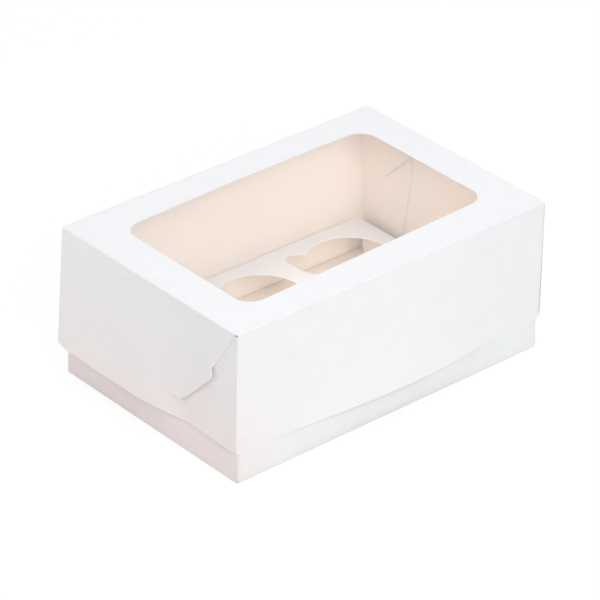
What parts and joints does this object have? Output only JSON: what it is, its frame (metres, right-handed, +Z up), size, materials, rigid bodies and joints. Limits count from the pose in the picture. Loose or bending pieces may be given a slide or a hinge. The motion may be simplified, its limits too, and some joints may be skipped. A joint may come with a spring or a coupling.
{
  "type": "cupcake box",
  "caption": "Two-piece white paperboard cupcake box with a lift-off windowed lid, a deep tray and a folded rack with round holes for cupcakes.",
  "frame": {"origin": "centre of the tray's underside, on the table", "axes": "+Z up, +X along the long side, front long wall facing -Y"},
  "size_m": [0.245, 0.1696, 0.0984],
  "materials": {
    "lid_card": "white coated paperboard, satin outside, plain warm white inside",
    "tray_card": "white coated paperboard, satin outside, plain warm white inside",
    "rack_card": "plain white paperboard, matt",
    "clear_film": "clear glossy film"
  },
  "bodies": {
    "tray": {"base_tray": "tray_card", "cupcake_rack": "rack_card"},
    "lid": {"lid": "lid_card", "window_film": "clear_film"}
  },
  "joints": [
    {"name": "lid_lift", "type": "slide", "parent": "tray", "child": "lid", "axis": [0, 0, 1], "range_m": [0, 0.1]}
  ]
}
